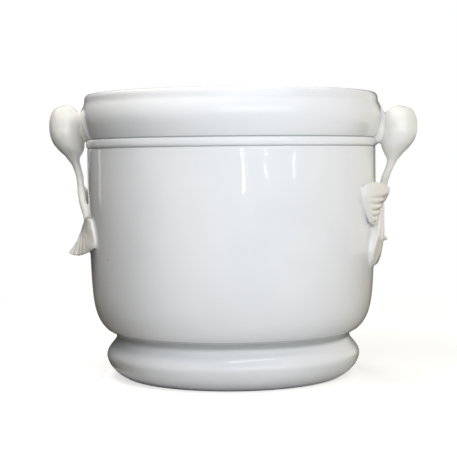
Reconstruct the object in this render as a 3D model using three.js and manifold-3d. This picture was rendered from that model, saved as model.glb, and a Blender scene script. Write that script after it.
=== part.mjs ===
// Glazed porcelain cachepot: a turned pot on a ring foot, with a swelling collar and two twig handles.
// Millimetres, +Z up. The pot's axis is Z, its foot stands on z = 0 and the handles lie on +X and -X.
import * as THREE from 'three';
import { mergeVertices } from 'three/addons/utils/BufferGeometryUtils.js';
import Module from 'manifold-3d';

const wasm = await Module();
wasm.setup();

// Driving dimensions of the pot
const totalHeight = 196;      // foot face to the top of the lip
const wallRadius = 100.5;     // outside of the wall just under the collar
const wallThickness = 5;
const floorThickness = 7;
const bodyTaper = 4.4;        // how much narrower the wall's line is at its lower end
const heelTuck = 14;          // how far the heel turns in below that line
const heelFade = 7.8;         // height over which the heel's turn fades
const seam = 0.3;             // luting joint between neighbouring pieces

// Driving dimensions of the foot
const footHeight = 31;        // foot face to the seam under the pot
const footStep = 0.7;         // the foot's neck in from the heel's lower edge
const footSwell = 7;          // the foot's roll beyond its neck
const footInset = 0.6;        // the standing edge's step in from the neck
const footWall = 9.4;         // the foot is a hollow roll of about this thickness
const footFace = 6;           // width of the flat ring that the pot stands on

// Driving dimensions of the collar and of the bead band under it
const collarHeight = 30.6;    // band seam to the top of the lip
const collarSwell = 4.3;      // the collar's roll beyond the wall
const lipOverhang = 0.9;      // the upright lip beyond the wall
const lipHeight = 5.1;
const bandHeight = 5.8;
const bandSwell = 1.3;
const rebateDepth = 2.5;      // turned seat in the wall for collar and band
const capThickness = 9.5;     // collar's top, from the wall's upper edge to the lip

// Driving dimensions of the handles
const bulbRadius = 12.1;
const bulbClearance = 0.4;    // bulb to the collar's widest ring
const bulbHeight = 37;
const bulbRise = 20.6;        // the bulb's top above the band seam
const padHalfHeight = 12;
const padHalfWidth = 9;
const stemRadius = 2.4;       // of the free stretch between bulb and wall
const leafThickness = 3.2;
const ribHeight = 0.55;       // half of a leaf rib's depth
const ribCount = 4.5;
const ridgeDepth = 0.07;      // branch end's ridges, as a share of its depth

// The two handles are put on by hand, so they differ a little
const handleLift = { right: -1.2, left: 2.2 };
const lowerLeafRaise = { right: 7, left: -1.2 };
const lowerLeafFlare = { right: 0.74, left: 1 };

// Fineness
const turns = 72;             // facets round the pot
const wallSteps = 15;         // steps up the outside of the wall

// Heights and radii that follow from the sizes above
const bandSeam = totalHeight - collarHeight;
const shoulder = bandSeam - seam - bandHeight - seam;
const wallTop = totalHeight - capThickness;
const floorTop = footHeight + floorThickness;
const innerRadius = wallRadius - wallThickness;
const footNeckRadius = wallRadius - bodyTaper - heelTuck - footStep;
const straightFrom = footHeight + 0.76 * (shoulder - footHeight);

// Outside radius of the wall at a height, without the rebate
function wallAt(z) {
  const share = THREE.MathUtils.clamp((z - footHeight) / (straightFrom - footHeight), 0, 1);
  const heel = heelTuck * Math.exp(-Math.max(z - footHeight, 0) / heelFade);
  return wallRadius - bodyTaper * (1 - share) ** 1.3 - heel;
}

// Place given as a distance out from the wall, an arc length round it and a height
function place(out, side, z) {
  const radius = wallAt(z) + out;
  const turn = side / wallRadius;
  return new THREE.Vector3(radius * Math.cos(turn), radius * Math.sin(turn), z);
}

function curvePoints(points, count) {
  const vectors = points.map(([x, y]) => new THREE.Vector2(x, y));
  return new THREE.SplineCurve(vectors).getPoints(count);
}

function toManifold(geometry) {
  geometry.deleteAttribute('normal');
  geometry.deleteAttribute('uv');
  const merged = mergeVertices(geometry, 1e-4);
  const index = merged.index.array;
  const corners = [];
  for (let i = 0; i < index.length; i += 3) {
    const [a, b, c] = [index[i], index[i + 1], index[i + 2]];
    if (a !== b && b !== c && c !== a) corners.push(a, b, c);
  }
  return new wasm.Manifold(new wasm.Mesh({
    numProp: 3,
    vertProperties: new Float32Array(merged.attributes.position.array),
    triVerts: new Uint32Array(corners),
  }));
}

function toGeometry(solid) {
  const mesh = solid.getMesh();
  const geometry = new THREE.BufferGeometry();
  geometry.setAttribute('position', new THREE.BufferAttribute(mesh.vertProperties, 3));
  geometry.setIndex(new THREE.BufferAttribute(mesh.triVerts, 1));
  geometry.computeVertexNormals();
  return geometry;
}

// Solid of revolution about Z from an outline that is listed upward on its outside
function turned(outline) {
  const geometry = new THREE.LatheGeometry(outline, turns);
  geometry.rotateX(Math.PI / 2);
  return geometry;
}

function closed(outline) {
  return [...outline, outline[0].clone()];
}

// Outside of the foot, from its standing edge to its seam
function footOutline() {
  const edge = footNeckRadius - footInset;
  return curvePoints([
    [edge, 0],
    [edge + 0.55 * footSwell, 5],
    [footNeckRadius + 0.9 * footSwell, 10.5],
    [footNeckRadius + footSwell, 14.8],
    [footNeckRadius + 0.88 * footSwell, 19.2],
    [footNeckRadius + 0.45 * footSwell, 24],
    [footNeckRadius + 0.1 * footSwell, 26.8],
    [footNeckRadius, 29],
    [footNeckRadius, footHeight - seam],
  ], 17);
}

function footRing() {
  const outside = footOutline();
  const inner = footNeckRadius - footWall;
  const inside = curvePoints([
    [inner, footHeight - seam],
    [inner + 0.12 * footSwell, 26],
    [inner + 0.7 * footSwell, 20],
    [inner + footSwell, 14],
    [inner + 0.85 * footSwell, 7],
    [outside[0].x - footFace, 0],
  ], 9);
  return turned(closed([...outside, ...inside]));
}

// Heights of the wall's outline, close together in the heel
function wallHeights(from, to, count) {
  return Array.from({ length: count + 1 }, (_, i) => from + (to - from) * (i / count) ** 1.9);
}

function vesselBody() {
  const outside = wallHeights(footHeight, shoulder, wallSteps).map((z) => new THREE.Vector2(wallAt(z), z));
  const insideHeel = heelTuck * 0.72;
  const inside = wallHeights(floorTop, wallTop, 11).map((z) => {
    const heel = insideHeel * Math.exp(-(z - floorTop) / heelFade);
    return new THREE.Vector2(wallAt(z + heelFade * 3) - wallThickness - heel, z);
  });
  return turned([
    new THREE.Vector2(0, footHeight),
    ...outside,
    new THREE.Vector2(wallRadius - rebateDepth, shoulder),
    new THREE.Vector2(wallRadius - rebateDepth, wallTop),
    ...inside.reverse(),
    new THREE.Vector2(0, floorTop),
  ]);
}

// Outside of the bead band, listed upward
function bandOutline() {
  const from = shoulder + seam;
  return curvePoints([
    [wallRadius + 0.1, from],
    [wallRadius + 0.8 * bandSwell, from + 0.2 * bandHeight],
    [wallRadius + bandSwell, from + 0.5 * bandHeight],
    [wallRadius + 0.8 * bandSwell, from + 0.8 * bandHeight],
    [wallRadius + 0.1, from + bandHeight],
  ], 8);
}

function collarBand() {
  const inner = wallRadius - rebateDepth + seam;
  return turned(closed([
    ...bandOutline(),
    new THREE.Vector2(inner, shoulder + seam + bandHeight),
    new THREE.Vector2(inner, shoulder + seam),
  ]));
}

// Outside of the collar and lip, listed upward
function collarOutline() {
  const step = totalHeight - lipHeight;
  const rise = step - bandSeam;
  const roll = curvePoints([
    [wallRadius + 0.1, bandSeam],
    [wallRadius + 0.36 * collarSwell, bandSeam + 0.11 * rise],
    [wallRadius + 0.67 * collarSwell, bandSeam + 0.26 * rise],
    [wallRadius + 0.9 * collarSwell, bandSeam + 0.44 * rise],
    [wallRadius + collarSwell, bandSeam + 0.64 * rise],
    [wallRadius + 0.93 * collarSwell, bandSeam + 0.82 * rise],
    [wallRadius + 0.62 * collarSwell, bandSeam + 0.94 * rise],
    [wallRadius + 0.4 * collarSwell, step],
  ], 13);
  const lip = curvePoints([
    [wallRadius + lipOverhang, step + 0.6],
    [wallRadius + lipOverhang, step + 0.66 * lipHeight],
    [wallRadius + lipOverhang - 0.9, totalHeight - 0.35],
    [wallRadius + lipOverhang - 2.4, totalHeight],
  ], 5);
  return [...roll, ...lip];
}

function rimCollar() {
  const outside = collarOutline();
  const inner = wallRadius - rebateDepth + seam;
  return turned(closed([
    ...outside,
    new THREE.Vector2(innerRadius + 2.2, totalHeight),
    new THREE.Vector2(innerRadius + 0.6, totalHeight - 0.7),
    new THREE.Vector2(innerRadius, totalHeight - 2.2),
    new THREE.Vector2(innerRadius, wallTop + seam),
    new THREE.Vector2(inner, wallTop + seam),
    new THREE.Vector2(inner, bandSeam),
  ]));
}

// Filled pot, one seam larger all round: what the handle pieces are cut back to
function potKeepOut() {
  const skin = [
    ...wallHeights(footHeight, shoulder, wallSteps).map((z) => new THREE.Vector2(wallAt(z), z)),
    ...bandOutline(),
    ...collarOutline(),
  ].map((point) => new THREE.Vector2(point.x + seam, point.y));
  const lowest = new THREE.Vector2(0, footHeight);
  const highest = new THREE.Vector2(0, totalHeight);
  return toManifold(turned([lowest, ...skin, highest]));
}

// Solid along a path. A station is [out, side, z, half depth, half width]; depth is measured away
// from the wall. grow makes it larger all round, and ridges waves its outline.
function sweep(stations, { rings, sides, grow = 0, ridges = 0 }) {
  const path = new THREE.CatmullRomCurve3(stations.map(([out, side, z]) => place(out, side, z)));
  const sizes = new THREE.CatmullRomCurve3(stations.map((s) => new THREE.Vector3(s[3], s[4], 0)));
  const positions = [];
  const index = [];
  for (let ring = 0; ring <= rings; ring += 1) {
    const t = ring / rings;
    const along = path.getTangent(t);
    const centre = path.getPoint(t);
    if (ring === 0) centre.addScaledVector(along, -grow);
    if (ring === rings) centre.addScaledVector(along, grow);
    const away = new THREE.Vector3(centre.x, centre.y, 0).normalize();
    away.addScaledVector(along, -away.dot(along)).normalize();
    const across = new THREE.Vector3().crossVectors(along, away);
    const size = sizes.getPoint(t);
    for (let corner = 0; corner < sides; corner += 1) {
      const angle = (corner / sides) * 2 * Math.PI;
      const wave = 1 + ridges * Math.cos(6 * angle);
      const point = centre.clone()
        .addScaledVector(away, (size.x * wave + grow) * Math.cos(angle))
        .addScaledVector(across, (size.y * wave + grow) * Math.sin(angle));
      positions.push(point.x, point.y, point.z);
    }
  }
  for (let ring = 0; ring < rings; ring += 1) {
    for (let corner = 0; corner < sides; corner += 1) {
      const next = (corner + 1) % sides;
      const [a, b] = [ring * sides + corner, ring * sides + next];
      index.push(a, b, a + sides, b, b + sides, a + sides);
    }
  }
  for (let corner = 1; corner < sides - 1; corner += 1) {
    const last = rings * sides;
    index.push(0, corner + 1, corner, last, last + corner, last + corner + 1);
  }
  const geometry = new THREE.BufferGeometry();
  geometry.setAttribute('position', new THREE.Float32BufferAttribute(positions, 3));
  geometry.setIndex(index);
  return toManifold(geometry);
}

// Bulb: from the cut end that meets the stem up to its round top
const bulbOut = collarSwell + bulbClearance + bulbRadius;
const bulbTip = bandSeam + bulbRise - bulbHeight;
const bulbShape = [
  // share of the way from tip to top, step back from the widest place, share of the radius
  [0, 6.3, 0.3],
  [0.09, 4.8, 0.37],
  [0.17, 3.4, 0.54],
  [0.25, 2.2, 0.73],
  [0.36, 0.9, 0.89],
  [0.5, 0.1, 0.985],
  [0.62, 0, 1],
  [0.75, 0, 0.93],
  [0.86, 0.1, 0.76],
  [0.94, 0.2, 0.53],
  [0.985, 0.3, 0.27],
  [1, 0.3, 0.05],
];

function bulb(level, grow) {
  const stations = bulbShape.map(([share, back, wide]) => {
    const radius = bulbRadius * wide;
    return [bulbOut - back, 0, level + share * bulbHeight, radius, radius];
  });
  return sweep(stations, { rings: 18, sides: 20, grow });
}

// Pad that lutes the bulb to the collar: a short oval column between the two
function pad(level) {
  const oval = new THREE.Shape();
  oval.absellipse(0, 0, padHalfHeight, padHalfWidth, 0, 2 * Math.PI);
  const depth = bulbOut - 3.5;
  const column = new THREE.ExtrudeGeometry(oval, { depth, bevelEnabled: false, curveSegments: 14 });
  column.rotateY(Math.PI / 2);
  column.translate(wallRadius - rebateDepth, 0, level + 0.55 * bulbHeight);
  return toManifold(column);
}

// Stem: from the bulb's tip down to the wall, then along it towards the lower leaf
function stem(level, raise, grow) {
  return sweep([
    [bulbOut - 6.5, 0, level + 1, 1.5 * stemRadius, 1.5 * stemRadius],
    [9, 0.5, level - 6, 1.2 * stemRadius, 1.2 * stemRadius],
    [7.4, 2.1, level - 12.5, 0.98 * stemRadius, 1.02 * stemRadius],
    [5.6, 7, level - 21, 0.98 * stemRadius, 1.02 * stemRadius],
    [3.9, 15, level - 30 + 0.5 * raise, stemRadius, 1.04 * stemRadius],
    [2.3, 21.5, level - 36 + 0.85 * raise, 0.92 * stemRadius, 1.04 * stemRadius],
    [1.9, 24.5, level - 39.5 + raise, 0.83 * stemRadius, stemRadius],
  ], { rings: 16, sides: 12, grow });
}

// Branch end: leaves the stem where it meets the wall and lies down the wall as a ridged band
function branchEnd(level, grow) {
  return sweep([
    [4.4, 2.6, level - 19.5, 1.6, 1.6],
    [3.6, -1.6, level - 24, 2.2, 2.8],
    [3, -7, level - 30, 3, 5],
    [2.8, -11.5, level - 38, 3.6, 8.8],
    [2.8, -13.8, level - 47, 4, 11.6],
    [2.6, -15, level - 56, 4.2, 12.6],
    [2.1, -16.2, level - 64, 3.8, 11.4],
    [1.5, -17.4, level - 70, 2.9, 8.2],
    [0.9, -18.2, level - 73.6, 1, 2.5],
  ], { rings: 18, sides: 24, grow, ridges: ridgeDepth });
}

// Leaf: a patch over the wall. Each row, from top to bottom, has three places across the leaf as
// [side, distance below the bulb's tip, height over the wall]. Ribs run from its top to its bottom.
function leaf(level, rows, fanTurn, flare = 1) {
  const columns = [0, 1, 2].map((column) => new THREE.CatmullRomCurve3(
    rows.map((row) => new THREE.Vector3(...row[column])),
  ));
  const [down, across] = [10, 14];
  const outer = [];
  const inner = [];
  for (let row = 0; row <= down; row += 1) {
    const [first, middle, last] = columns.map((curve) => curve.getPoint(row / down));
    for (let step = 0; step <= across; step += 1) {
      const s = step / across;
      const spot = new THREE.Vector3()
        .addScaledVector(first, (1 - s) * (1 - 2 * s))
        .addScaledVector(middle, 4 * s * (1 - s))
        .addScaledVector(last, s * (2 * s - 1));
      const rim = Math.min(1, 5 * Math.min(s, 1 - s, row / down, 1 - row / down));
      const rib = ribHeight * rim * Math.cos(2 * Math.PI * ribCount * (s + fanTurn * row / down));
      const thickness = leafThickness * (0.55 + 0.45 * rim);
      const z = level - spot.y;
      outer.push(place(spot.z * flare + rib, spot.x, z));
      inner.push(place(spot.z * flare - thickness, spot.x, z));
    }
  }
  return slab(outer, inner, down, across);
}

// Closed solid between two grids of points
function slab(outer, inner, down, across) {
  const width = across + 1;
  const offset = outer.length;
  const positions = [...outer, ...inner].flatMap((point) => [point.x, point.y, point.z]);
  const index = [];
  const quad = (a, b, c, d) => index.push(a, b, c, a, c, d);
  for (let row = 0; row < down; row += 1) {
    for (let step = 0; step < across; step += 1) {
      const a = row * width + step;
      quad(a, a + width, a + width + 1, a + 1);
      quad(offset + a, offset + a + 1, offset + a + width + 1, offset + a + width);
    }
  }
  for (let step = 0; step < across; step += 1) {
    const low = down * width + step;
    quad(step, step + 1, offset + step + 1, offset + step);
    quad(low + 1, low, offset + low, offset + low + 1);
  }
  for (let row = 0; row < down; row += 1) {
    const a = row * width;
    const b = a + across;
    quad(a + width, a, offset + a, offset + a + width);
    quad(b, b + width, offset + b + width, offset + b);
  }
  const geometry = new THREE.BufferGeometry();
  geometry.setAttribute('position', new THREE.Float32BufferAttribute(positions, 3));
  geometry.setIndex(index);
  return toManifold(geometry);
}

const lowerLeafRows = [
  [[24.5, 39.8, 3.8], [29.5, 38.8, 3.8], [34.5, 40, 2.2]],
  [[23.7, 45.5, 4.6], [33, 45, 5.6], [42.5, 45.5, 1.8]],
  [[22.8, 52, 7.2], [34, 52, 7.2], [47, 51.5, 2]],
  [[21.5, 58.5, 11], [33, 59.5, 9], [48.5, 57, 2.2]],
  [[20, 64, 15.2], [32.5, 66, 10], [47, 61, 2.4]],
];

const upperLeafRows = [
  [[-44, 19, 2.2], [-28, 16, 7.5], [-11.4, 18.5, 10.8]],
  [[-44.5, 24, 2.4], [-29.7, 23, 7.4], [-14, 24.5, 8]],
  [[-42, 31, 2.6], [-30.6, 30.5, 7], [-19.3, 31.5, 6.6]],
  [[-38.5, 37.5, 2.6], [-30.2, 37.5, 6], [-22, 38, 5.8]],
  [[-35, 42.5, 2.4], [-29.8, 44, 4.8], [-24.2, 43, 4.8]],
];

function glazed(colour) {
  return new THREE.MeshStandardMaterial({ color: colour, roughness: 0.12, metalness: 0 });
}

function named(name, geometry, colour) {
  const mesh = new THREE.Mesh(geometry, glazed(colour));
  mesh.name = name;
  return mesh;
}

const coolWhite = 0xe9ebec;
const warmWhite = 0xf0ece2;
const model = new THREE.Group();

model.add(
  named('vessel_body', vesselBody(), coolWhite),
  named('foot_ring', footRing(), coolWhite),
  named('collar_band', collarBand(), coolWhite),
  named('rim_collar', rimCollar(), coolWhite),
);

// Pieces of one handle on the +X side, each cut back by a seam where it meets its neighbours
const keepOut = potKeepOut();

function handlePieces(lift, raise, flare) {
  const level = bulbTip + lift;
  const bulbSpace = bulb(level, seam);
  const stemSpace = stem(level, raise, seam);
  const branchSpace = branchEnd(level, seam);
  return {
    bulb: bulb(level, 0),
    bulb_pad: pad(level).subtract(bulbSpace).subtract(keepOut),
    stem: stem(level, raise, 0).subtract(bulbSpace).subtract(keepOut),
    branch_end: branchEnd(level, 0).subtract(stemSpace).subtract(keepOut),
    lower_leaf: leaf(level + raise, lowerLeafRows, -0.12, flare)
      .subtract(stemSpace).subtract(keepOut),
    upper_leaf: leaf(level, upperLeafRows, 0.12).subtract(branchSpace).subtract(keepOut),
  };
}

// The left handle is the right one turned half a turn about the pot's axis
for (const [side, turn] of [['right', 0], ['left', Math.PI]]) {
  const handle = new THREE.Group();
  handle.rotation.z = turn;
  const pieces = handlePieces(handleLift[side], lowerLeafRaise[side], lowerLeafFlare[side]);
  for (const [piece, solid] of Object.entries(pieces)) {
    handle.add(named(`${side}_${piece}`, toGeometry(solid), warmWhite));
  }
  model.add(handle);
}

export default model;
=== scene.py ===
import math
import bpy
import numpy as np
import openvdb
from mathutils import Matrix, Vector


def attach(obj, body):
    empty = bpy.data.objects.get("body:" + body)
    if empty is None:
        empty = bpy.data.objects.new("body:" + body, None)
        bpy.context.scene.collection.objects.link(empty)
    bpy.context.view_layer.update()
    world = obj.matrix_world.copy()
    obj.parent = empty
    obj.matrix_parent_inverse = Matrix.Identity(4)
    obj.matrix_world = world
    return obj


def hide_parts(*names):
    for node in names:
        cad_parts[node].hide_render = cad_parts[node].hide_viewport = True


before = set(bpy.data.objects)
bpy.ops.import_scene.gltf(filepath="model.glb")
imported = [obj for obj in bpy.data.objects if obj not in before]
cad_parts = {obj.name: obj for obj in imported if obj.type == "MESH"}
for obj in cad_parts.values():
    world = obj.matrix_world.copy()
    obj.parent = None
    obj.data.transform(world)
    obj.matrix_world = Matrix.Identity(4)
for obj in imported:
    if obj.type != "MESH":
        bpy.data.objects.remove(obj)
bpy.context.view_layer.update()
scene = bpy.context.scene
scene.view_settings.view_transform = "Standard"
mm = 0.001
print("frame loaded:", len(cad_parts), "CAD nodes")


# Small helpers for objects and meshes

def newObject(name, data):
    item = bpy.data.objects.new(name, data)
    scene.collection.objects.link(item)
    return item


def newMesh(name, points, edges, faces):
    mesh = bpy.data.meshes.new(name)
    mesh.from_pydata(points, edges, faces)
    return mesh


def setAttribute(mesh, name, values):
    mesh.attributes.new(name, "FLOAT", "POINT").data.foreach_set("value", np.asarray(values, np.float32))


def gridFaces(rows, columns):
    return [(i * columns + k, (i + 1) * columns + k, (i + 1) * columns + k + 1, i * columns + k + 1)
            for i in range(rows - 1) for k in range(columns - 1)]


def spotAt(azimuth, distance, height):
    # azimuth in degrees from the front, towards the right handle
    turn = math.radians(azimuth)
    return Vector((distance * math.sin(turn), -distance * math.cos(turn), height))


# Camera at the angle of the photograph

cameraValues = {
    "azimuth": 5.0,        # degrees, towards the right handle
    "distance": 0.894,     # from the pot's axis
    "eyeHeight": 0.147,
    "lookDown": 2.87,      # degrees
    "lookLeft": 0.16,      # degrees, so the pot stands a little right of the middle
    "roll": -0.555,        # degrees
    "lens": 100.24,
    "sensorWidth": 36.0,
    "clipStart": 0.05,
    "clipEnd": 60.0,
}


def makeCamera(values):
    data = bpy.data.cameras.new("camera")
    data.lens = values["lens"]
    data.sensor_width = values["sensorWidth"]
    data.clip_start = values["clipStart"]
    data.clip_end = values["clipEnd"]
    camera = newObject("camera", data)
    place = Matrix.Translation(spotAt(values["azimuth"], values["distance"], values["eyeHeight"]))
    facing = Matrix.Rotation(math.radians(values["azimuth"] + values["lookLeft"]), 4, "Z")
    tilt = Matrix.Rotation(math.radians(90.0 - values["lookDown"]), 4, "X")
    roll = Matrix.Rotation(math.radians(values["roll"]), 4, "Z")
    camera.matrix_world = place @ facing @ tilt @ roll
    scene.camera = camera


makeCamera(cameraValues)
print("camera set")


# Small helpers for node trees

def feed(tree, socket, value):
    # a socket of another node is linked in, anything else is set
    if isinstance(value, bpy.types.NodeSocket):
        tree.links.new(value, socket)
    elif value is not None:
        socket.default_value = value


def newNode(tree, kind, inputs=(), **settings):
    # inputs holds what feeds each of its sockets, by name or number
    node = tree.nodes.new(kind)
    for key, value in settings.items():
        setattr(node, key, value)
    for socket, value in dict(inputs).items():
        feed(tree, node.inputs[socket], value)
    return node


def calc(tree, operation, first, second=None, third=None):
    return newNode(tree, "ShaderNodeMath", {0: first, 1: second, 2: third}, operation=operation).outputs[0]


def plus(tree, first, second):
    return calc(tree, "ADD", first, second)


def minus(tree, first, second):
    return calc(tree, "SUBTRACT", first, second)


def times(tree, first, second):
    return calc(tree, "MULTIPLY", first, second)


def newTree(name, kind, inputs, outputs):
    # node group with its sockets, and the sockets of its input and output nodes
    tree = bpy.data.node_groups.new(name, kind)
    for direction, sockets in (("INPUT", inputs), ("OUTPUT", outputs)):
        for socket, value in sockets:
            tree.interface.new_socket(name=socket, in_out=direction, socket_type="NodeSocket" + value)
    return tree, newNode(tree, "NodeGroupInput").outputs, newNode(tree, "NodeGroupOutput").inputs


def ramp(tree, value, start, end, low=0.0, high=1.0):
    given = enumerate((value, start, end, low, high))
    return newNode(tree, "ShaderNodeMapRange", given, interpolation_type="SMOOTHSTEP").outputs[0]


def namedValue(tree, name):
    return newNode(tree, "GeometryNodeInputNamedAttribute", {"Name": name}, data_type="FLOAT").outputs[0]


def sampleAt(tree, geometry, value, index, kind):
    given = {"Geometry": geometry, "Value": value, "Index": index}
    return newNode(tree, "GeometryNodeSampleIndex", given, data_type=kind, domain="POINT").outputs["Value"]


def endTree(tree, out, geometry, joinWithin, material):
    # every geometry tree ends alike: joined seams, smooth faces, real geometry, its material
    merged = newNode(tree, "GeometryNodeMergeByDistance", {"Geometry": geometry, "Distance": joinWithin})
    smooth = newNode(tree, "GeometryNodeSetShadeSmooth", {"Geometry": merged.outputs[0]})
    real = newNode(tree, "GeometryNodeRealizeInstances", {"Geometry": smooth.outputs[0]})
    coated = newNode(tree, "GeometryNodeSetMaterial", {"Geometry": real.outputs[0], "Material": material})
    feed(tree, out, coated.outputs[0])


# Outlines of the turned pieces, as (radius, height) in millimetres

pot = {
    "wallRadius": 100.5,
    "wallThickness": 5.0,
    "bodyTaper": 3.3,
    "taperPower": 1.3,
    "heelTuck": 12.6,
    "heelFade": 8.6,
    "footHeight": 31.0,
    "straightFrom": 128.28,
    "footSeam": (84.55, 31.8),
    "bandSeam": (100.1, 158.9),
    "collarSeam": (100.15, 164.8),
    "insideSeam": (95.45, 186.65),
    "rebateRadius": 98.3,     # the wall's face behind the band and the collar
    "seatRadius": 98.6,       # their own faces there
    "insideShift": 2.0,       # the inside's taper lies this much below the outside's
    "insideGrowth": 0.1,      # and the wall is this much thicker there
    "groove": 32.0,           # height under the heel where painted shade is added to the hollow attribute
    "heelShadeReach": 3.7,
    "heelShadeDepth": 0.42,
}

outlineSpacing = {            # millimetres between points, closer where the shape is finer
    "foot": 0.8,
    "footInside": 1.2,
    "vessel": 1.1,
    "vesselInside": 1.6,
    "vesselUnder": 3.0,
    "band": 0.35,
    "collar": 0.55,
}


def wallAt(z):
    share = min(max((z - pot["footHeight"]) / (pot["straightFrom"] - pot["footHeight"]), 0.0), 1.0)
    heel = pot["heelTuck"] * math.exp(-max(z - pot["footHeight"], 0.0) / pot["heelFade"])
    return pot["wallRadius"] - pot["bodyTaper"] * (1.0 - share) ** pot["taperPower"] - heel


def smoothLine(points, spacing):
    # points along a centripetal Catmull-Rom curve through the given ones
    points = [np.array(p, float) for p in points]
    first = 2 * points[0] - points[1]
    last = 2 * points[-1] - points[-2]
    control = [first] + points + [last]
    line = []
    for a, b, c, d in zip(control, control[1:], control[2:], control[3:]):
        ta = np.linalg.norm(b - a) ** 0.5
        tb = ta + np.linalg.norm(c - b) ** 0.5
        tc = tb + np.linalg.norm(d - c) ** 0.5
        count = max(1, int(math.ceil(np.linalg.norm(c - b) / spacing)))
        for t in np.linspace(ta, tb, count, endpoint=False):
            ab = a + (b - a) * t / ta
            bc = b + (c - b) * (t - ta) / (tb - ta)
            cd = c + (d - c) * (t - tb) / (tc - tb)
            near = ab + (bc - ab) * t / tb
            far = bc + (cd - bc) * (t - ta) / (tc - ta)
            line.append(near + (far - near) * (t - ta) / (tb - ta))
    line.append(points[-1])
    return [tuple(p) for p in line]


# Each outline is its outside, listed upward, and the rest of the way round

def footOutline():
    outside = smoothLine([
        (74.5, 0.0), (75.5, 0.2), (76.9, 0.75), (78.6, 1.7), (80.6, 2.95), (82.9, 4.7), (85.2, 7.1),
        (87.1, 10.1), (88.3, 13.2), (88.7, 15.2), (88.45, 17.2), (87.65, 19.2), (86.3, 21.3), (84.8, 23.2),
        (83.3, 25.0), (82.25, 26.7), (81.85, 28.2), (82.1, 29.5), (82.85, 30.6), (83.8, 31.45),
        (84.4, 31.72), pot["footSeam"],
    ], outlineSpacing["foot"])
    inside = smoothLine([
        (71.9, 31.0), (72.3, 27.0), (75.0, 20.5), (77.0, 14.0), (75.6, 7.0), (72.9, 1.6), (72.2, 0.4),
        (71.4, 0.0),
    ], outlineSpacing["footInside"])
    return outside, inside + [(72.6, 0.0), (73.6, 0.0)]


def vesselOutline():
    heights = [33.8, 34.7, 35.9, 37.7, 40.0, 43.0, 47.0, 52.0, 58.0]
    heights += [66.0 + 7.0 * step for step in range(12)]
    outside = smoothLine([pot["footSeam"], (84.8, 31.85), (85.5, 32.2), (86.5, 32.85)] + [
        (wallAt(z), z) for z in heights
    ] + [
        (100.5, 150.0), (100.5, 154.0), (100.55, 156.6), (100.52, 157.8), (100.35, 158.5), pot["bandSeam"],
    ], outlineSpacing["vessel"])
    hidden = [(pot["rebateRadius"], z) for z in (pot["bandSeam"][1], 172.0, pot["insideSeam"][1])]
    levels = [178.0 - 9.0 * step for step in range(13)]
    inside = smoothLine([pot["insideSeam"], (pot["wallRadius"] - pot["wallThickness"], 184.0)] + [
        (wallAt(z + pot["insideShift"]) - pot["wallThickness"] - pot["insideGrowth"], z) for z in levels
    ] + [
        (90.9, 62.0), (89.6, 54.0), (86.6, 47.4), (81.5, 42.6), (74.0, 39.6), (64.0, 38.3), (45.0, 38.0),
        (20.0, 38.0), (0.0, 38.0),
    ], outlineSpacing["vesselInside"])
    under = smoothLine([
        (0.0, 31.9), (20.0, 31.85), (50.0, 31.5), (68.0, 31.1), (71.9, 31.0),
    ], outlineSpacing["vesselUnder"])
    return outside, hidden + inside + under


def bandOutline():
    outside = smoothLine([
        pot["bandSeam"], (100.6, 159.15), (101.1, 159.7), (101.35, 160.6), (101.42, 161.8), (101.38, 162.9),
        (101.2, 163.7), (100.75, 164.35), pot["collarSeam"],
    ], outlineSpacing["band"])
    return outside, [(pot["seatRadius"], pot[seam][1]) for seam in ("collarSeam", "bandSeam")]


def collarOutline():
    outside = smoothLine([
        pot["collarSeam"], (100.5, 165.25), (101.2, 166.5), (102.2, 168.8), (103.25, 171.9), (104.05, 174.8),
        (104.55, 177.4), (104.72, 179.6), (104.62, 181.8), (104.32, 183.8), (103.85, 185.7), (103.25, 187.4),
        (102.7, 188.8), (102.35, 190.0), (102.2, 191.2), (102.1, 192.5), (101.85, 193.7), (101.3, 194.75),
        (100.4, 195.5), (99.3, 195.88), (98.0, 195.88), (96.7, 195.45), (95.8, 194.4), (95.5, 192.9),
        (95.48, 190.0), pot["insideSeam"],
    ], outlineSpacing["collar"])
    return outside, [(pot["seatRadius"], pot[seam][1]) for seam in ("insideSeam", "collarSeam")]


def evenly(line, spacing):
    # the same line with its points at even distances
    line = np.array(line)
    length = np.concatenate(([0.0], np.cumsum(np.linalg.norm(np.diff(line, axis=0), axis=1))))
    places = np.arange(0.0, length[-1], spacing)
    return np.stack([np.interp(places, length, line[:, side]) for side in (0, 1)], axis=1)


outlines = {
    "footRing": footOutline(),
    "vesselBody": vesselOutline(),
    "collarBand": bandOutline(),
    "rimCollar": collarOutline(),
}

lineValues = {
    "spacing": 0.4,           # between the points of potLine
    "bendReach": 3,           # points each way that its bend is measured over
    "onLine": 0.6,            # a point nearer to the line than this lies on the outside
}

potLine = evenly(sum((outside for outside, rest in outlines.values()), []), lineValues["spacing"])


def hollowOnLine(reach, spacing):
    # bend of the pot's outside per millimetre: above 0 in a crease, below 0 on an edge
    ends = np.pad(potLine, ((reach, reach), (0, 0)), mode="edge")
    middle = (ends[2 * reach:] + ends[:-2 * reach]) / 2
    along = ends[2 * reach:] - ends[:-2 * reach]
    away = np.stack([along[:, 1], -along[:, 0]], axis=1) / np.linalg.norm(along, axis=1)[:, None]
    depth = ((middle - potLine) * away).sum(axis=1)
    bend = 2.0 * depth / (reach * spacing) ** 2
    bend[:reach] = 0.0
    bend[-reach:] = 0.0
    return bend


potBend = hollowOnLine(lineValues["bendReach"], lineValues["spacing"])


def hollowAt(points):
    points = np.array(points)
    gaps = np.linalg.norm(points[:, None, :] - potLine[None, :, :], axis=2)
    # painted shade under the heel: a band added to the bend, so the glaze colour darkens there
    under = np.exp(-((points[:, 1] - pot["groove"]) / pot["heelShadeReach"]) ** 2)
    bend = potBend[gaps.argmin(axis=1)] + pot["heelShadeDepth"] * under
    return np.where(gaps.min(axis=1) < lineValues["onLine"], bend, 0.0)


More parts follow.
